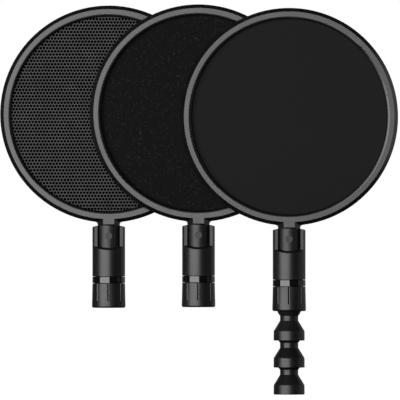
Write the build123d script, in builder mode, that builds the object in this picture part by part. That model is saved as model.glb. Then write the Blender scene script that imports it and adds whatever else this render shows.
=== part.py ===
from build123d import *
import math
import os

os.makedirs("parts", exist_ok=True)

# A pop filter for a microphone: three interchangeable round heads (fabric, foam and
# perforated metal) and a short arm of ball-and-socket links.
# Frame, in millimetres: +Z runs up the arm from the mouth of its lowest socket, and the
# heads face -Y. The fabric head is on the arm. The other two stand behind it, in a row.

# Arm links
link_pitch = 18.9            # from one socket's mouth to the next
ball_radius = 8.7
ball_lift = 4.34             # a seated ball's centre, above the mouth of its socket
ball_cap = 2.1               # height cut off the top of a ball
socket_clearance = 0.15      # between a ball and its socket
mouth_land = 1.2             # straight mouth below the round of the socket
skirt_wall = 1.95            # at the middle of the socket
skirt_flare = 0.07           # the skirt's mouth is this much wider than its top
skirt_height = 6.6
shoulder_round = 1.6
neck_radius = 6.35
cone_height = 7.25
neck_round = 0.8
bore_radius = 4.0            # open channel through every link
edge_break = 0.3
link_count = 3

# Screen and rim
rim_radius = 76.2
rim_above_housing = 2.0      # from the top of the housing to the lowest point of the rim
rim_depth = 11.0
rim_edge = 2.0               # width of the straight outer wall
rim_chamfer = 2.6            # radial width of the sloped outer band
rim_face = 3.1               # radial width of the flat front ring
lip_round = 2.3              # rounded inner lip
pocket_depth = 4.4           # space for screen and hoop, front to back
pocket_wall = 5.4            # from the pocket to the outside of the rim
tongue_inset = 3.1           # middle of the tongue that keys the two halves, from the outside
tongue_width = 1.0
tongue_length = 1.5
fit_clearance = 0.1          # all round, between pieces that are fastened together
hoop_width = 2.2

# Neck and stem
neck_inset = 0.05            # each side of the neck stands back this far from the stem's side
neck_overlap = 3.0           # the neck runs this far down into the stem
neck_chamfer = 3.9           # width of the sloped band on each side of the neck
neck_fillet = 2.2
stem_radius = 7.8
stem_length = 25.4
mark_radius = 2.4            # plain round dimple in the stem's front
mark_depth = 0.8

# Housing, above the ball's centre unless noted
housing_wall = 1.8           # the housing stands out this far past the spigot
housing_bottom = 19.3
housing_top = 55.0
housing_round = 0.8
top_rise = 0.9               # the top climbs this much towards the stem
stem_clearance = 0.1
front_flat = 5.6             # flat beside the stem, in front of the axis
flat_bottom = 40.4
ledge_slope = 0.45           # the ledge under the flat falls this much for each step forward
pad_bore_top = 23.0
spigot_wall = 2.35
screw_height = 34.2
screw_shank = 1.5
screw_head = 2.8
screw_head_height = 2.0
screw_tip = 4.2              # past the axis, towards the front
screw_floor = 0.65           # material between the screw's head and the stem
drive_width = 2.0
drive_depth = 1.1

# Accent ring and collar
ring_gap = 0.2
ring_height = 4.5
ring_chamfer = 0.2
collar_bottom = 2.7          # below the ball's centre
collar_flare = 0.35           # the collar's mouth is this much wider than its top
collar_round = 1.2
collar_clearance = 0.2
collar_lip = 0.45            # height of the lip that keeps the collet in
lip_clearance = 0.18         # between the lip and the ball
collar_cone_top = 1.0
groove_count = 8
groove_radius = 1.0          # round grip grooves
groove_depth = 0.9
groove_length = 12.3

# Collet and pad that grip the ball
collet_clearance = 0.12
collet_gap = 0.15
collet_wall = 0.83           # above the ball's centre
collet_mouth_wall = 0.53
collet_slots = 6
collet_slot_width = 1.0
collet_slot_top = 2.5
pad_clearance = 0.15
pad_gap = 0.2                # round the pad, in the spigot
pad_edge = 0.5               # flat edge round the pad's hollow
pad_recess = 0.4             # the pad stands back this far in the spigot
pad_height = 5.0

# Heads: place of each stem's axis, how far the head stands up, and its layers from the front,
# each with its thickness
head_gap = 0.4
row_pitch = rim_depth + head_gap
heads = {
    "fabric": {"x": 0.0, "row": 0, "up": 0.0, "layers": {"screen": 0.5}},
    "foam": {"x": -63.4, "row": 1, "up": 2.7, "layers": {"screen": 3.4}},
    "metal": {"x": -126.4, "row": 2, "up": 2.1, "layers": {"screen": 0.6, "backing": 0.8}},
}


def round_width(radius, height):
    """Radius of a sphere's section at a height above its centre."""
    return math.sqrt(radius ** 2 - height ** 2)


# Sizes that follow from those above
arm_ball = link_count * link_pitch + ball_lift    # height of the ball that the fabric head sits on
socket_radius = ball_radius + socket_clearance
skirt_radius = socket_radius + skirt_wall
ball_flat = ball_radius - ball_cap
spigot_radius = ball_radius + collet_clearance + collet_wall
spigot_bore = spigot_radius - spigot_wall
pad_radius = spigot_bore - pad_gap
pad_bottom = round_width(ball_radius + pad_clearance, pad_radius - pad_edge)
spigot_bottom = pad_bottom - pad_recess
housing_radius = spigot_radius + housing_wall
collar_top = housing_bottom - 2 * ring_gap - ring_height
screw_seat = stem_radius + screw_floor            # behind the stem's axis
neck_half_width = stem_radius - neck_inset
neck_bottom = housing_top - neck_overlap
rim_centre = housing_top + rim_above_housing + rim_radius
pocket_radius = rim_radius - pocket_wall
tongue_radius = rim_radius - tongue_inset


def save(part, name):
    part.label = name
    export_step(part, f"parts/{name}.step")


def build_link(mouth):
    """One link: a skirt with a round socket below, a neck and a ball above."""
    seat = mouth + ball_lift
    ball = seat + link_pitch
    cone_top = mouth + skirt_height + cone_height
    land_radius = round_width(socket_radius, ball_lift - mouth_land)
    ball_start = ball - round_width(ball_radius, neck_radius)
    with BuildPart() as link:
        with BuildSketch(Plane.XZ):
            with BuildLine():
                outside = FilletPolyline(
                    (skirt_radius + skirt_flare - edge_break, mouth),
                    (skirt_radius + skirt_flare, mouth + edge_break),
                    (skirt_radius, mouth + skirt_height),
                    (neck_radius, cone_top),
                    (neck_radius, ball_start),
                    radius=[0.05, shoulder_round, neck_round],
                )
                ThreePointArc(
                    outside @ 1,
                    (ball_radius, ball),
                    (round_width(ball_radius, ball_flat), ball + ball_flat),
                )
                Polyline(
                    (round_width(ball_radius, ball_flat), ball + ball_flat),
                    (bore_radius, ball + ball_flat),
                    (bore_radius, seat + round_width(socket_radius, bore_radius)),
                )
                ThreePointArc(
                    (bore_radius, seat + round_width(socket_radius, bore_radius)),
                    (socket_radius, seat),
                    (land_radius, mouth + mouth_land),
                )
                Polyline((land_radius, mouth + mouth_land), (land_radius, mouth), outside @ 0)
            make_face()
        revolve(axis=Axis.Z)
    return link.part


def stem_plane(at):
    """Upright plane through a head's stem, seen from the front, with the ball's centre at (0, 0)."""
    return Plane(origin=at, x_dir=(1, 0, 0), z_dir=(0, -1, 0))


def disc_plane(at):
    """Level plane through the disc's centre: across is the radius, and up is towards the back."""
    return Plane(origin=at + Vector(0, 0, rim_centre), x_dir=(1, 0, 0), z_dir=(0, 0, 1))


def stem_axis(at):
    return Axis(at, (0, 0, 1))


def disc_axis(at):
    return Axis(at + Vector(0, 0, rim_centre), (0, 1, 0))


def rim_outline(plane):
    """Disc and neck as seen from the front, with a fillet in each corner between them."""
    corner_height = rim_centre - round_width(rim_radius, neck_half_width)
    with BuildSketch(plane) as outline:
        with Locations((0, rim_centre)):
            Circle(rim_radius)
        with Locations((0, neck_bottom)):
            Rectangle(2 * neck_half_width, rim_centre - neck_bottom, align=(Align.CENTER, Align.MIN))
        corners = [v for v in outline.vertices() if abs(v.Y - corner_height) < 0.01]
        fillet(corners, neck_fillet)
    return outline.sketch


def build_rim(at, side):
    """Half of the rim with half of the stem. side is -1 for the front half, 1 for the back."""
    core = rim_edge / 2
    slope = rim_depth / 2 - core
    taper = math.degrees(math.atan(rim_chamfer / slope))
    middle = stem_plane(at)
    outward = -side
    shelf = pocket_depth / 2
    face = rim_depth / 2
    lip_outer = rim_radius - rim_chamfer - rim_face
    lip_inner = lip_outer - lip_round
    neck_taper = math.degrees(math.atan(neck_chamfer / slope))
    neck_height = rim_centre - lip_outer + neck_chamfer - neck_bottom
    straight = rim_outline(middle)
    with BuildPart() as rim:
        # disc and neck, first straight, then each sloping in to the flat face
        extrude(straight, amount=outward * core)
        with BuildSketch(middle.offset(outward * core)):
            with Locations((0, rim_centre)):
                Circle(rim_radius)
        extrude(amount=outward * slope, taper=taper)
        with BuildSketch(middle.offset(outward * core)):
            with Locations((0, neck_bottom)):
                Rectangle(2 * neck_half_width, neck_height, align=(Align.CENTER, Align.MIN))
        extrude(amount=outward * slope, taper=neck_taper)
        # opening with its rounded lip, and the pocket behind it
        with BuildSketch(disc_plane(at)):
            with BuildLine():
                Polyline((0, 0), (pocket_radius, 0), (pocket_radius, side * shelf),
                         (lip_inner, side * shelf), (lip_inner, side * (face - lip_round)))
                ThreePointArc(
                    (lip_inner, side * (face - lip_round)),
                    (lip_outer - lip_round * math.sqrt(0.5),
                     side * (face - lip_round * (1 - math.sqrt(0.5)))),
                    (lip_outer, side * face),
                )
                Polyline((lip_outer, side * face), (lip_outer, side * (face + 1)),
                         (0, side * (face + 1)), (0, 0))
            make_face()
        revolve(axis=disc_axis(at), mode=Mode.SUBTRACT)
        # half of the stem
        with BuildSketch(Plane.XY.offset(at.Z + housing_top - stem_length)):
            with Locations((at.X, at.Y)):
                Circle(stem_radius)
                Rectangle(4 * stem_radius, 2 * stem_radius, mode=Mode.SUBTRACT,
                          align=(Align.CENTER, Align.MIN if side < 0 else Align.MAX))
        extrude(amount=stem_length)
        # hole for the screw that holds the stem
        with BuildSketch(middle):
            with Locations((0, screw_height)):
                Circle(screw_shank + 0.05)
        reach = screw_tip + 0.3 if side < 0 else 2 * stem_radius
        extrude(amount=outward * reach, mode=Mode.SUBTRACT)
        # tongue on the back half, groove in the front half
        if side > 0:
            with BuildSketch(middle):
                with Locations((0, rim_centre)):
                    Circle(tongue_radius + tongue_width / 2)
                    Circle(tongue_radius - tongue_width / 2, mode=Mode.SUBTRACT)
            extrude(amount=tongue_length)
        else:
            with BuildSketch(middle):
                with Locations((0, rim_centre)):
                    Circle(tongue_radius + tongue_width / 2 + fit_clearance)
                    Circle(tongue_radius - tongue_width / 2 - fit_clearance, mode=Mode.SUBTRACT)
            extrude(amount=tongue_length + fit_clearance, mode=Mode.SUBTRACT)
            # plain round dimple in the stem's front
            with BuildSketch(middle.offset(stem_radius - mark_depth)):
                with Locations((0, (housing_top + flat_bottom) / 2)):
                    Circle(mark_radius)
            extrude(amount=2 * mark_depth, mode=Mode.SUBTRACT)
    return rim.part


def build_layer(at, depth, thickness):
    """Round layer of the screen in the pocket, at a depth behind its front shelf."""
    with BuildPart() as layer:
        with BuildSketch(stem_plane(at).offset(pocket_depth / 2 - depth - thickness)):
            with Locations((0, rim_centre)):
                Circle(pocket_radius - fit_clearance)
        extrude(amount=thickness)
    return layer.part


def build_hoop(at, depth):
    """Hoop that fills the rest of the pocket and presses the layers forward."""
    with BuildPart() as hoop:
        with BuildSketch(stem_plane(at).offset(-pocket_depth / 2)):
            with Locations((0, rim_centre)):
                Circle(pocket_radius - fit_clearance)
                Circle(pocket_radius - fit_clearance - hoop_width, mode=Mode.SUBTRACT)
        extrude(amount=pocket_depth - depth)
    return hoop.part


def build_housing(at):
    """Housing of the coupler: takes the stem from above, and has the collar's spigot below."""
    stem_bore = stem_radius + stem_clearance
    stem_floor = housing_top - stem_length - stem_clearance
    middle = stem_plane(at)
    with BuildPart() as housing:
        with BuildSketch(middle):
            with BuildLine():
                outside = FilletPolyline(
                    (stem_bore, housing_top),
                    (housing_radius, housing_top - top_rise),
                    (housing_radius, housing_bottom + ring_chamfer),
                    radius=housing_round,
                )
                Polyline(
                    outside @ 1,
                    (housing_radius - ring_chamfer, housing_bottom),
                    (spigot_radius, housing_bottom),
                    (spigot_radius, spigot_bottom + ring_chamfer),
                    (spigot_radius - ring_chamfer, spigot_bottom),
                    (spigot_bore, spigot_bottom),
                    (spigot_bore, pad_bore_top),
                    (0, pad_bore_top),
                    (0, stem_floor),
                    (stem_bore, stem_floor),
                    outside @ 0,
                )
            make_face()
        revolve(axis=stem_axis(at))
        # flat beside the stem and slot in front of it, both down to a sloping ledge
        cut_front = 2 * housing_radius
        for start, reach in ((front_flat, 2 * housing_radius), (0, stem_bore)):
            with BuildSketch(Plane(origin=at, x_dir=(0, 1, 0), z_dir=(1, 0, 0))):
                Polygon(
                    (-start, flat_bottom - ledge_slope * (start - front_flat)),
                    (-start, 2 * housing_top),
                    (-cut_front, 2 * housing_top),
                    (-cut_front, flat_bottom - ledge_slope * (cut_front - front_flat)),
                    align=None,
                )
            extrude(amount=reach, both=True, mode=Mode.SUBTRACT)
        # screw hole from the back, with a recess for the head
        with BuildSketch(middle):
            with Locations((0, screw_height)):
                Circle(screw_shank + 0.05)
        extrude(amount=-2 * housing_radius, mode=Mode.SUBTRACT)
        with BuildSketch(middle.offset(-screw_seat)):
            with Locations((0, screw_height)):
                Circle(screw_head + fit_clearance)
        extrude(amount=-housing_radius, mode=Mode.SUBTRACT)
    return housing.part


def build_screw(at):
    """Screw from the back of the housing through both halves of the stem."""
    with BuildPart() as screw:
        with BuildSketch(stem_plane(at).offset(-screw_seat)):
            with Locations((0, screw_height)):
                Circle(screw_head)
        extrude(amount=-screw_head_height)
        fillet(screw.edges().group_by(Axis.Y)[-1], 0.4)
        with BuildSketch(stem_plane(at).offset(-screw_seat)):
            with Locations((0, screw_height)):
                Circle(screw_shank)
        extrude(amount=screw_seat + screw_tip)
        with BuildSketch(stem_plane(at).offset(-screw_seat - screw_head_height)):
            with Locations((0, screw_height)):
                RegularPolygon(drive_width / math.sqrt(3), 6)
        extrude(amount=drive_depth, mode=Mode.SUBTRACT)
    return screw.part


def build_accent_ring(at):
    """Glossy ring round the spigot, between housing and collar."""
    low = housing_bottom - ring_gap - ring_height
    with BuildPart() as ring:
        with BuildSketch(Plane.XY.offset(at.Z + low)):
            with Locations((at.X, at.Y)):
                Circle(housing_radius)
                Circle(spigot_radius + fit_clearance, mode=Mode.SUBTRACT)
        extrude(amount=ring_height)
        outer = ring.edges().filter_by(GeomType.CIRCLE).group_by(SortBy.RADIUS)[-1]
        chamfer(outer, ring_chamfer)
    return ring.part


def collet_foot():
    return collar_lip - collar_bottom + collet_gap


def collet_mouth_radius():
    return round_width(ball_radius + collet_clearance, collet_foot()) + collet_mouth_wall


def build_collar(at):
    """Collar that screws up on the spigot and squeezes the collet round the ball."""
    inside = spigot_radius + collar_clearance
    lip_top = collar_lip - collar_bottom
    lip_radius = round_width(ball_radius, lip_top) + lip_clearance
    cone_radius = collet_mouth_radius() + collar_clearance
    with BuildPart() as collar:
        with BuildSketch(stem_plane(at)):
            with BuildLine():
                outside = FilletPolyline(
                    (inside, collar_top),
                    (housing_radius, collar_top),
                    (housing_radius + collar_flare, -collar_bottom),
                    (lip_radius, -collar_bottom),
                    radius=[ring_chamfer, collar_round],
                )
                Polyline(
                    outside @ 1,
                    (lip_radius, lip_top),
                    (cone_radius, lip_top),
                    (inside, collar_cone_top),
                    outside @ 0,
                )
            make_face()
        revolve(axis=stem_axis(at))
        # grip grooves, from the top down
        with BuildSketch(Plane.XY.offset(at.Z + collar_top)):
            with Locations((at.X, at.Y)):
                with PolarLocations(housing_radius + groove_radius - groove_depth, groove_count):
                    Circle(groove_radius)
        extrude(amount=-groove_length, mode=Mode.SUBTRACT)
    return collar.part


def build_collet(at):
    """Slotted ring with a round seat, round the ball inside the collar."""
    seat = ball_radius + collet_clearance
    low = collet_foot()
    high = spigot_bottom - collet_gap
    slot_reach = ball_radius - round_width(seat, collet_slot_top) + 2 * collet_wall
    with BuildPart() as collet:
        with BuildSketch(stem_plane(at)):
            with BuildLine():
                Polyline(
                    (round_width(seat, high), high),
                    (spigot_radius, high),
                    (spigot_radius, collar_cone_top),
                    (collet_mouth_radius(), low),
                    (round_width(seat, low), low),
                )
                ThreePointArc((round_width(seat, low), low), (seat, 0), (round_width(seat, high), high))
            make_face()
        revolve(axis=stem_axis(at))
        with BuildSketch(Plane.XY.offset(at.Z + low)):
            with Locations((at.X, at.Y)):
                with PolarLocations(ball_radius, collet_slots, start_angle=30):
                    Rectangle(2 * slot_reach, collet_slot_width)
        extrude(amount=collet_slot_top - low, mode=Mode.SUBTRACT)
    return collet.part


def build_pad(at):
    """Rubber pad in the spigot that presses on top of the ball."""
    seat = ball_radius + pad_clearance
    with BuildPart() as pad:
        with BuildSketch(stem_plane(at)):
            with BuildLine():
                ThreePointArc(
                    (0, seat),
                    (seat * math.sin(0.4), seat * math.cos(0.4)),
                    (pad_radius - pad_edge, pad_bottom),
                )
                Polyline(
                    (pad_radius - pad_edge, pad_bottom),
                    (pad_radius, pad_bottom),
                    (pad_radius, pad_bottom + pad_height),
                    (0, pad_bottom + pad_height),
                    (0, seat),
                )
            make_face()
        revolve(axis=stem_axis(at))
    return pad.part


for number in range(link_count):
    link_mouth = (link_count - 1 - number) * link_pitch
    save(build_link(link_mouth), f"arm_link_{number + 1}")

for head, facts in heads.items():
    place = Vector(facts["x"], facts["row"] * row_pitch, arm_ball + facts["up"])
    save(build_rim(place, -1), f"{head}_front_rim")
    save(build_rim(place, 1), f"{head}_back_rim")
    depth = 0
    for layer, thickness in facts["layers"].items():
        save(build_layer(place, depth, thickness), f"{head}_{layer}")
        depth += thickness
    save(build_hoop(place, depth), f"{head}_hoop")
    save(build_housing(place), f"{head}_housing")
    save(build_screw(place), f"{head}_stem_screw")
    save(build_accent_ring(place), f"{head}_accent_ring")
    save(build_collar(place), f"{head}_collar")
    save(build_collet(place), f"{head}_collet")
    save(build_pad(place), f"{head}_ball_pad")
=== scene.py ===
import math
import bpy
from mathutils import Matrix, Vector


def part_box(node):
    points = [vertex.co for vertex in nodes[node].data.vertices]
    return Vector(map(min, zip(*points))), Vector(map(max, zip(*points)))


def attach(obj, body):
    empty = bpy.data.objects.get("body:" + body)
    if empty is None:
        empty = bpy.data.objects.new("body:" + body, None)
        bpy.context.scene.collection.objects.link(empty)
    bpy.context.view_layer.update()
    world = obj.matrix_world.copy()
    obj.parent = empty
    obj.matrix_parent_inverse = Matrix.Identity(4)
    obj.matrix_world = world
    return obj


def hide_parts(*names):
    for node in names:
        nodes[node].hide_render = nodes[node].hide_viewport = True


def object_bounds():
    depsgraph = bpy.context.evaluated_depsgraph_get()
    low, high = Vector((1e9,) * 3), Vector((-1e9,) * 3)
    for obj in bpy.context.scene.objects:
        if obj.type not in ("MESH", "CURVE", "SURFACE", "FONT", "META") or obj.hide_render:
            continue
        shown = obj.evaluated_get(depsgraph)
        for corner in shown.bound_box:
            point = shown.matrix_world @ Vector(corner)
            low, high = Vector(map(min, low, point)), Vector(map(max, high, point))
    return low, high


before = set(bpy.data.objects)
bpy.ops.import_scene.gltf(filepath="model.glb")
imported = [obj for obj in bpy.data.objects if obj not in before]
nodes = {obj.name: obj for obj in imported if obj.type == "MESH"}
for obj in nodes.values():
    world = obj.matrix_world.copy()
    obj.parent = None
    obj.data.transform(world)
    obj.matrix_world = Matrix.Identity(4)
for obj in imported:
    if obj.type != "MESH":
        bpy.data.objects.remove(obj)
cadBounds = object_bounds()
headNames = ["fabric", "foam", "metal"]
print("frame loaded:", len(nodes), "nodes")


# small helpers

faceFront = (math.pi / 2, 0, 0)    # turns a flat new piece to face the front
smoothAngle = math.radians(40)


def deselectAll():
    if bpy.context.mode != "OBJECT":
        bpy.ops.object.mode_set(mode="OBJECT")
    bpy.ops.object.select_all(action="DESELECT")


def makeActive(piece):
    deselectAll()
    piece.select_set(True)
    bpy.context.view_layer.objects.active = piece


def settle(piece):
    # the place goes into the mesh and the object stays at the origin
    makeActive(piece)
    bpy.ops.object.transform_apply(location=True, rotation=True, scale=True)


def applyModifier(piece, kind, **values):
    makeActive(piece)
    modifier = piece.modifiers.new(kind.title(), kind)
    for key, value in values.items():
        setattr(modifier, key, value)
    bpy.ops.object.modifier_apply(modifier=modifier.name)


def grey(level):
    return level, level, level


def discOf(node):
    # centre, radius and thickness of a round node that faces the front
    low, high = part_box(node)
    return (low + high) / 2, (high.x - low.x) / 2, high.y - low.y


# camera: long lens, level, straight from the front
# frameShare is the picture's width over the object's, right and up move the picture's middle

camera = {"lens": 900, "sensor": 36, "frameShare": 1.0037, "right": 0.00085, "up": -0.0005, "farthest": 60}


def makeCamera():
    low, high = cadBounds
    width = (high[0] - low[0]) * camera["frameShare"]
    distance = width * camera["lens"] / camera["sensor"]
    data = bpy.data.cameras.new("camera")
    data.lens = camera["lens"]
    data.sensor_width = camera["sensor"]
    data.clip_end = camera["farthest"]
    eye = bpy.data.objects.new("camera", data)
    eye.location = ((low[0] + high[0]) / 2 + camera["right"], -distance, (low[2] + high[2]) / 2 + camera["up"])
    eye.rotation_euler = faceFront
    bpy.context.scene.collection.objects.link(eye)
    bpy.context.scene.camera = eye


makeCamera()
print("camera placed")


# studio: one big softbox in front to the left, weak lights at the sides and behind

studio = {
    "white": 1.0, "fill": 0.03,    # what the camera sees behind the object, and what lights it from all round
    "lights": {
        # azimuth and elevation in degrees from the camera's side,
        # then width, height and distance in metres, then radiance
        "key": (-30.7, 3, 2.7, 1.3, 2.0, 5.6),
        "rightSide": (110, 5, 3.6, 1.8, 2.0, 0.34),
        "leftSide": (-150, 5, 1.2, 1.6, 2.0, 0.15),
        "back": (180, 25, 2.0, 1.2, 2.2, 0.4),
    },
    "floor": {"radius": 0.6, "sides": 96, "drop": 0.0015, "grey": 0.9, "rough": 0.9, "glow": 0.9},
}


def middleOf(bounds):
    low, high = bounds
    return Vector(((low[0] + high[0]) / 2, 0, (low[2] + high[2]) / 2))


def makeLight(name, middle, azimuth, elevation, width, height, distance, radiance):
    data = bpy.data.lights.new(name, "AREA")
    data.shape = "RECTANGLE"
    data.size = width
    data.size_y = height
    data.energy = radiance * math.pi * width * height
    lamp = bpy.data.objects.new(name, data)
    a, e = math.radians(azimuth), math.radians(elevation)
    away = Vector((math.sin(a) * math.cos(e), -math.cos(a) * math.cos(e), math.sin(e)))
    lamp.location = middle + away * distance
    lamp.rotation_euler = (-away).to_track_quat("-Z", "Y").to_euler()
    lamp.visible_camera = False
    bpy.context.scene.collection.objects.link(lamp)


def makeWorld():
    # white behind the object, and nearly dark for everything that the object reflects
    world = bpy.data.worlds.new("studio")
    bpy.context.scene.world = world
    world.use_nodes = True
    tree = world.node_tree
    seen = tree.nodes["Background"]
    seen.inputs["Color"].default_value = (1, 1, 1, 1)
    seen.inputs["Strength"].default_value = studio["white"]
    dim = tree.nodes.new("ShaderNodeBackground")
    dim.inputs["Strength"].default_value = studio["fill"]
    path = tree.nodes.new("ShaderNodeLightPath")
    mix = tree.nodes.new("ShaderNodeMixShader")
    tree.links.new(path.outputs["Is Camera Ray"], mix.inputs["Fac"])
    tree.links.new(dim.outputs["Background"], mix.inputs[1])
    tree.links.new(seen.outputs["Background"], mix.inputs[2])
    tree.links.new(mix.outputs["Shader"], tree.nodes["World Output"].inputs["Surface"])
    bpy.context.scene.view_settings.view_transform = "Standard"
    bpy.context.scene.view_settings.look = "None"


def makeFloor(middle, look):
    # pale floor just under the arm, hidden from the object's own reflections
    deselectAll()
    bpy.ops.mesh.primitive_circle_add(vertices=look["sides"], radius=look["radius"], fill_type="NGON",
                                      location=(middle.x, 0, -look["drop"]))
    floor = bpy.context.object
    floor.name = "floor"
    settle(floor)
    pale = bpy.data.materials.new("floorWhite")
    pale.use_nodes = True
    shader = pale.node_tree.nodes["Principled BSDF"]
    shader.inputs["Base Color"].default_value = (*grey(look["grey"]), 1)
    shader.inputs["Roughness"].default_value = look["rough"]
    shader.inputs["Emission Color"].default_value = (1, 1, 1, 1)
    shader.inputs["Emission Strength"].default_value = look["glow"]
    floor.data.materials.append(pale)
    floor.visible_diffuse = False
    floor.visible_glossy = False


for name, settings in studio["lights"].items():
    makeLight(name, middleOf(cadBounds), *settings)
makeWorld()
makeFloor(middleOf(cadBounds), studio["floor"])
print("studio lit")


# materials

noiseSpan = (0.3, 0.7)    # nearly all values of a noise lie in here


def startMaterial(name, base, roughness, specular=0.5):
    material = bpy.data.materials.new(name)
    material.use_nodes = True
    shader = material.node_tree.nodes["Principled BSDF"]
    shader.inputs["Base Color"].default_value = (*base, 1)
    shader.inputs["Roughness"].default_value = roughness
    shader.inputs["Specular IOR Level"].default_value = specular
    coords = material.node_tree.nodes.new("ShaderNodeTexCoord")
    return material, material.node_tree, shader, coords


def addNoise(tree, coords, scale, detail=3.0):
    noise = tree.nodes.new("ShaderNodeTexNoise")
    noise.inputs["Scale"].default_value = scale
    noise.inputs["Detail"].default_value = detail
    tree.links.new(coords.outputs["Object"], noise.inputs["Vector"])
    return noise


def spreadValue(tree, source, low, high, target):
    spread = tree.nodes.new("ShaderNodeMapRange")
    spread.inputs["From Min"].default_value = noiseSpan[0]
    spread.inputs["From Max"].default_value = noiseSpan[1]
    spread.inputs["To Min"].default_value = low
    spread.inputs["To Max"].default_value = high
    tree.links.new(source, spread.inputs["Value"])
    tree.links.new(spread.outputs["Result"], target)


def spreadGrey(tree, source, dark, light, target):
    ramp = tree.nodes.new("ShaderNodeValToRGB")
    ramp.color_ramp.elements[0].position = noiseSpan[0]
    ramp.color_ramp.elements[0].color = (*grey(dark), 1)
    ramp.color_ramp.elements[1].position = noiseSpan[1]
    ramp.color_ramp.elements[1].color = (*grey(light), 1)
    tree.links.new(source, ramp.inputs["Fac"])
    tree.links.new(ramp.outputs["Color"], target)


def addBump(tree, source, strength, depth, target):
    bump = tree.nodes.new("ShaderNodeBump")
    bump.inputs["Strength"].default_value = strength
    bump.inputs["Distance"].default_value = depth
    tree.links.new(source, bump.inputs["Height"])
    tree.links.new(bump.outputs["Normal"], target)


# moulded plastics: dark and light are greys, smooth and rough are roughnesses, grain is the size of the texture
satin = {
    "arm": {"dark": 0.006, "light": 0.010, "smooth": 0.36, "rough": 0.42, "specular": 0.52, "grain": 2600},
    "rim": {"dark": 0.002, "light": 0.004, "smooth": 0.33, "rough": 0.38, "specular": 0.68, "grain": 2000},
    # stem: rougher and less glossy than the rim, and its lighter greys are painted light on the stem's flanks
    "stem": {"dark": 0.008, "light": 0.012, "smooth": 0.42, "rough": 0.48, "specular": 0.48, "grain": 2600},
    "coupler": {"dark": 0.006, "light": 0.009, "smooth": 0.36, "rough": 0.42, "specular": 0.51, "grain": 2600},
}
mould = {"cloud": 45, "detail": 2, "bump": 0.15, "depth": 0.00002}


def satinPlastic(name, finish):
    material, tree, shader, coords = startMaterial(name, grey(finish["dark"]), finish["smooth"],
                                                   finish["specular"])
    cloudy = addNoise(tree, coords, mould["cloud"])
    spreadValue(tree, cloudy.outputs["Fac"], finish["smooth"], finish["rough"], shader.inputs["Roughness"])
    spreadGrey(tree, cloudy.outputs["Fac"], finish["dark"], finish["light"], shader.inputs["Base Color"])
    grain = addNoise(tree, coords, finish["grain"], mould["detail"])
    addBump(tree, grain.outputs["Fac"], mould["bump"], mould["depth"], shader.inputs["Normal"])
    return material


# polished ring
gloss = {"base": 0.004, "smooth": 0.05, "rough": 0.10, "specular": 0.58, "cloud": 120}


def glossPlastic(name):
    material, tree, shader, coords = startMaterial(name, grey(gloss["base"]), gloss["smooth"],
                                                   gloss["specular"])
    cloudy = addNoise(tree, coords, gloss["cloud"])
    spreadValue(tree, cloudy.outputs["Fac"], gloss["smooth"], gloss["rough"], shader.inputs["Roughness"])
    return material


screwFinish = {"base": 0.08, "smooth": 0.25, "rough": 0.4, "turned": 1800}


def screwSteel(name):
    material, tree, shader, coords = startMaterial(name, grey(screwFinish["base"]), screwFinish["smooth"])
    shader.inputs["Metallic"].default_value = 1.0
    turned = addNoise(tree, coords, screwFinish["turned"])
    spreadValue(tree, turned.outputs["Fac"], screwFinish["smooth"], screwFinish["rough"],
                shader.inputs["Roughness"])
    return material


# pieces of one plain colour
plain = {
    "rubber": {"base": (0.02, 0.02, 0.02), "smooth": 0.6, "rough": 0.8, "specular": 0.5},
    "collet": {"base": (0.45, 0.44, 0.40), "smooth": 0.35, "rough": 0.5, "specular": 0.5},
    "liner": {"base": (0.001, 0.001, 0.001), "smooth": 0.9, "rough": 1.0, "specular": 0.0},
}
plainGrain = {"scale": 600, "bump": 0.2, "depth": 0.00003}


def plainFinish(name, finish):
    material, tree, shader, coords = startMaterial(name, finish["base"], finish["smooth"], finish["specular"])
    noise = addNoise(tree, coords, plainGrain["scale"])
    spreadValue(tree, noise.outputs["Fac"], finish["smooth"], finish["rough"], shader.inputs["Roughness"])
    addBump(tree, noise.outputs["Fac"], plainGrain["bump"], plainGrain["depth"], shader.inputs["Normal"])
    return material


weave = {"threads": 800, "dark": 0.0045, "light": 0.0125, "rough": 0.9, "specular": 0.25,
         "sheen": 0.1, "sheenRough": 0.5, "bump": 0.3, "depth": 0.00005}


def stretchedCloth(name):
    # plain weave: two crossed bands of threads
    material, tree, shader, coords = startMaterial(name, grey(weave["light"]), weave["rough"],
                                                   weave["specular"])
    shader.inputs["Sheen Weight"].default_value = weave["sheen"]
    shader.inputs["Sheen Roughness"].default_value = weave["sheenRough"]
    both = tree.nodes.new("ShaderNodeMath")
    both.operation = "MULTIPLY"
    for index, direction in enumerate(("X", "Z")):
        bands = tree.nodes.new("ShaderNodeTexWave")
        bands.bands_direction = direction
        bands.inputs["Scale"].default_value = weave["threads"]
        tree.links.new(coords.outputs["Object"], bands.inputs["Vector"])
        tree.links.new(bands.outputs["Fac"], both.inputs[index])
    ramp = tree.nodes.new("ShaderNodeValToRGB")
    ramp.color_ramp.elements[0].color = (*grey(weave["dark"]), 1)
    ramp.color_ramp.elements[1].color = (*grey(weave["light"]), 1)
    tree.links.new(both.outputs["Value"], ramp.inputs["Fac"])
    tree.links.new(ramp.outputs["Color"], shader.inputs["Base Color"])
    addBump(tree, both.outputs["Value"], weave["bump"], weave["depth"], shader.inputs["Normal"])
    return material


foamFinish = {"dark": 0.0028, "light": 0.045, "rough": 0.95, "specular": 0.2, "specks": 800, "falloff": 2.3,
              "cells": 1100, "bump": 0.4, "depth": 0.0002}


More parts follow.
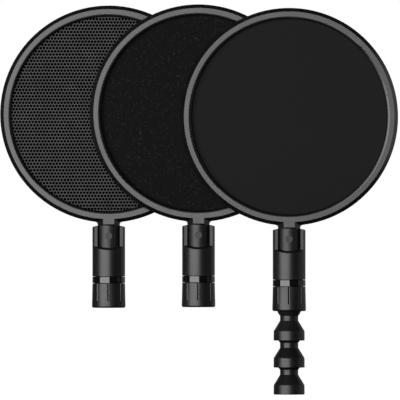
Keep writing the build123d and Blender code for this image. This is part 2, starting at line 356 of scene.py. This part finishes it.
def openFoam(name):
    material, tree, shader, coords = startMaterial(name, grey(foamFinish["light"]), foamFinish["rough"],
                                                   foamFinish["specular"])
    # mostly dark, with sparse lighter specks: a higher falloff leaves fewer
    specks = addNoise(tree, coords, foamFinish["specks"])
    falloff = tree.nodes.new("ShaderNodeMath")
    falloff.operation = "POWER"
    falloff.inputs[1].default_value = foamFinish["falloff"]
    tree.links.new(specks.outputs["Fac"], falloff.inputs[0])
    spreadGrey(tree, falloff.outputs["Value"], foamFinish["dark"], foamFinish["light"],
               shader.inputs["Base Color"])
    cells = tree.nodes.new("ShaderNodeTexVoronoi")
    cells.inputs["Scale"].default_value = foamFinish["cells"]
    tree.links.new(coords.outputs["Object"], cells.inputs["Vector"])
    addBump(tree, cells.outputs["Distance"], foamFinish["bump"], foamFinish["depth"], shader.inputs["Normal"])
    return material


sheetFinish = {"dark": 0.0045, "light": 0.008, "smooth": 0.46, "rough": 0.56, "cloud": 90, "peel": 1400,
               "bump": 0.2, "depth": 0.00003}


def paintedSheet(name):
    material, tree, shader, coords = startMaterial(name, grey(sheetFinish["light"]), sheetFinish["smooth"])
    cloudy = addNoise(tree, coords, sheetFinish["cloud"])
    spreadValue(tree, cloudy.outputs["Fac"], sheetFinish["smooth"], sheetFinish["rough"],
                shader.inputs["Roughness"])
    spreadGrey(tree, cloudy.outputs["Fac"], sheetFinish["dark"], sheetFinish["light"],
               shader.inputs["Base Color"])
    peel = addNoise(tree, coords, sheetFinish["peel"])
    addBump(tree, peel.outputs["Fac"], sheetFinish["bump"], sheetFinish["depth"], shader.inputs["Normal"])
    return material


materials = {name: satinPlastic(name + "Plastic", finish) for name, finish in satin.items()}
materials.update({name: plainFinish(name + "Plain", finish) for name, finish in plain.items()})
materials["accent"] = glossPlastic("polishedBlack")
materials["screw"] = screwSteel("blackSteel")
materials["cloth"] = stretchedCloth("blackCloth")
materials["foam"] = openFoam("darkFoam")
materials["sheet"] = paintedSheet("blackPaintedMetal")
print("materials made")


# finishes of the plain parts

finishes = {
    "front_rim": "rim", "back_rim": "rim", "hoop": "rim", "housing": "coupler", "collar": "coupler",
    "accent_ring": "accent", "stem_screw": "screw", "collet": "collet", "ball_pad": "rubber",
}
stemLength = 0.0252


def paint(piece, material):
    piece.data.materials.clear()
    piece.data.materials.append(material)


def paintStem(rim):
    # the stem at the foot of a rim is moulded with a rougher face, and its lighter greys than the rim's are
    # painted light standing in for light on its flanks
    mesh = rim.data
    mesh.materials.append(materials["stem"])
    stemTop = min(vertex.co.z for vertex in mesh.vertices) + stemLength
    for face in mesh.polygons:
        face.material_index = int(face.center.z < stemTop)


for number in (1, 2, 3):
    paint(nodes[f"arm_link_{number}"], materials["arm"])
for head in headNames:
    for part, finish in finishes.items():
        paint(nodes[f"{head}_{part}"], materials[finish])
    for part in ("front_rim", "back_rim"):
        paintStem(nodes[f"{head}_{part}"])
print("plain parts painted")


# perforated sheet: one cell with its hole, repeated in staggered rows, then a plain border
# shift moves the pattern right and up from the disc's centre, and lastHole is as far out as a hole goes

perforated = {"pitch": 0.002255, "row": 0.002255, "holeRadius": 0.00098, "sides": 12, "lastHole": 0.0690,
              "shift": (0.0008, -0.001045), "borderSides": 192, "weld": 0.00001,
              "miss": 0.01}    # how far a corner may be from its row's edge, as a share of a row


def makeCell(pitch, row):
    deselectAll()
    bpy.ops.mesh.primitive_plane_add(size=1, rotation=faceFront)
    cell = bpy.context.object
    cell.scale = (pitch, row, 1)
    settle(cell)
    bpy.ops.object.mode_set(mode="EDIT")
    bpy.ops.mesh.select_mode(type="EDGE")
    bpy.ops.mesh.select_all(action="SELECT")
    bpy.ops.mesh.delete(type="ONLY_FACE")
    bpy.ops.mesh.select_all(action="DESELECT")
    bpy.ops.object.mode_set(mode="OBJECT")
    # the rows are staggered, so a corner of the next row meets the middle of each level edge
    points = cell.data.vertices
    for edge in cell.data.edges:
        first, second = edge.vertices
        edge.select = abs(points[first].co.z - points[second].co.z) < row / 4
    bpy.ops.object.mode_set(mode="EDIT")
    bpy.ops.mesh.subdivide(number_cuts=1)
    bpy.ops.mesh.select_all(action="DESELECT")
    bpy.ops.mesh.primitive_circle_add(vertices=perforated["sides"], radius=perforated["holeRadius"],
                                      fill_type="NOTHING", rotation=faceFront)
    bpy.ops.mesh.select_all(action="SELECT")
    bpy.ops.mesh.fill(use_beauty=True)
    bpy.ops.object.mode_set(mode="OBJECT")
    return cell


def repeat(piece, count, step):
    applyModifier(piece, "ARRAY", count=count, use_relative_offset=False, use_constant_offset=True,
                  constant_offset_displace=step)


def makePerforatedSheet(node):
    centre, radius, thickness = discOf(node)
    pitch, row = perforated["pitch"], perforated["row"]
    sheet = makeCell(pitch, row)
    sheet.name = "perforatedSheet"
    # enough columns and pairs of rows to reach past the last hole on every side
    columns = 2 * math.ceil(perforated["lastHole"] / pitch) + 3
    pairs = math.ceil(perforated["lastHole"] / row) + 2
    repeat(sheet, columns, (pitch, 0, 0))
    repeat(sheet, 2, (pitch / 2, 0, row))
    repeat(sheet, pairs, (0, 0, 2 * row))
    firstColumn = perforated["shift"][0] - (columns - 1) / 2 * pitch
    firstRow = perforated["shift"][1] - (pairs - 1) * row
    sheet.location = (firstColumn, 0, firstRow)
    settle(sheet)

    def cellCentre(point):
        level = round((point.z - firstRow) / row)
        start = firstColumn + (level % 2) * pitch / 2
        return start + round((point.x - start) / pitch) * pitch, firstRow + level * row

    # cells past the last hole go
    mesh = sheet.data
    bpy.ops.object.mode_set(mode="EDIT")
    bpy.ops.mesh.select_mode(type="FACE")
    bpy.ops.object.mode_set(mode="OBJECT")
    for face in mesh.polygons:
        face.select = math.hypot(*cellCentre(face.center)) > perforated["lastHole"]
    bpy.ops.object.mode_set(mode="EDIT")
    bpy.ops.mesh.delete(type="FACE")
    bpy.ops.mesh.select_all(action="SELECT")
    bpy.ops.mesh.remove_doubles(threshold=perforated["weld"])
    # border: from the stepped outline to a circle
    bpy.ops.mesh.select_mode(type="EDGE")
    bpy.ops.mesh.select_all(action="DESELECT")
    bpy.ops.mesh.primitive_circle_add(vertices=perforated["borderSides"], radius=radius, fill_type="NOTHING",
                                      rotation=faceFront)
    bpy.ops.mesh.select_all(action="DESELECT")
    bpy.ops.mesh.select_non_manifold(extend=False, use_wire=True, use_boundary=True, use_multi_face=False,
                                     use_non_contiguous=False, use_verts=False)
    bpy.ops.object.mode_set(mode="OBJECT")

    def onOutline(point):
        # corners of cells lie halfway between rows, and the points of a hole don't
        level = (point.z - firstRow) / row + 0.5
        onCorner = abs(level - round(level)) < perforated["miss"]
        return onCorner or math.hypot(point.x, point.z) > radius - 10 * perforated["weld"]

    for edge in mesh.edges:
        if edge.select:
            edge.select = all(onOutline(mesh.vertices[v].co) for v in edge.vertices)
    bpy.ops.object.mode_set(mode="EDIT")
    bpy.ops.mesh.fill(use_beauty=False)
    bpy.ops.mesh.select_all(action="SELECT")
    bpy.ops.mesh.normals_make_consistent(inside=False)
    bpy.ops.object.mode_set(mode="OBJECT")
    applyModifier(sheet, "SOLIDIFY", thickness=thickness, offset=0)
    paint(sheet, materials["sheet"])
    sheet.location = centre
    settle(sheet)
    bpy.ops.object.shade_smooth_by_angle(angle=smoothAngle)
    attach(sheet, "metal_head")
    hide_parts(node)


makePerforatedSheet("metal_screen")
print("perforated sheet made")


# foam pad: a bevelled disc, remeshed, with open cells pressed into its faces

foamPad = {"sides": 192, "bevel": 0.0006, "bevelSteps": 2, "voxel": 0.0007, "cell": 0.0011, "pit": 0.00045,
           "level": 0.9, "inset": 0.0003}


def makeFoamPad(node):
    centre, radius, thickness = discOf(node)
    deselectAll()
    bpy.ops.mesh.primitive_cylinder_add(vertices=foamPad["sides"], radius=radius, location=centre,
                                        depth=thickness - foamPad["inset"], rotation=faceFront)
    pad = bpy.context.object
    pad.name = "foamPad"
    settle(pad)
    applyModifier(pad, "BEVEL", width=foamPad["bevel"], segments=foamPad["bevelSteps"])
    applyModifier(pad, "REMESH", mode="VOXEL", voxel_size=foamPad["voxel"])
    cells = bpy.data.textures.new("foamCells", "VORONOI")
    cells.noise_scale = foamPad["cell"]
    cells.distance_metric = "DISTANCE"
    applyModifier(pad, "DISPLACE", texture=cells, texture_coords="GLOBAL", strength=foamPad["pit"],
                  mid_level=foamPad["level"])
    bpy.ops.object.shade_smooth()
    paint(pad, materials["foam"])
    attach(pad, "foam_head")
    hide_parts(node)


makeFoamPad("foam_screen")
print("foam pad made")


# cloths: a disc inset into rings, given a little slack and a thickness

screenCloth = {"name": "stretchedCloth", "spokes": 144, "rings": 36, "thickness": 0.0003, "slack": 0.00012,
               "slackSize": 0.03, "body": "fabric_head", "slot": "cloth", "finish": "cloth",
               "restsOn": ["fabric_front_rim", "fabric_hoop"]}
liner = {"name": "sheetLiner", "spokes": 144, "rings": 18, "thickness": 0.0006, "slack": 0.00006,
         "slackSize": 0.012, "body": "metal_head", "slot": "liner_cloth", "finish": "liner",
         "restsOn": ["metal_front_rim", "metal_hoop"]}


def makeCloth(node, cut):
    centre, radius, _ = discOf(node)
    deselectAll()
    bpy.ops.mesh.primitive_circle_add(vertices=cut["spokes"], radius=radius, fill_type="NGON",
                                      location=centre, rotation=faceFront)
    cloth = bpy.context.object
    cloth.name = cut["name"]
    settle(cloth)
    bpy.ops.object.mode_set(mode="EDIT")
    bpy.ops.mesh.select_mode(type="FACE")
    bpy.ops.mesh.select_all(action="SELECT")
    for _ in range(1, cut["rings"]):
        bpy.ops.mesh.inset(thickness=radius / cut["rings"])
    bpy.ops.mesh.poke()
    bpy.ops.object.mode_set(mode="OBJECT")
    slack = bpy.data.textures.new(cut["name"] + "Slack", "CLOUDS")
    slack.noise_scale = cut["slackSize"]
    applyModifier(cloth, "DISPLACE", texture=slack, texture_coords="GLOBAL", direction="Y",
                  strength=cut["slack"], mid_level=0.5)
    applyModifier(cloth, "SOLIDIFY", thickness=cut["thickness"], offset=0)
    bpy.ops.object.shade_smooth_by_angle(angle=smoothAngle)
    paint(cloth, materials[cut["finish"]])
    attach(cloth, cut["body"])
    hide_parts(node)


makeCloth("fabric_screen", screenCloth)
makeCloth("metal_backing", liner)
print("cloths made")
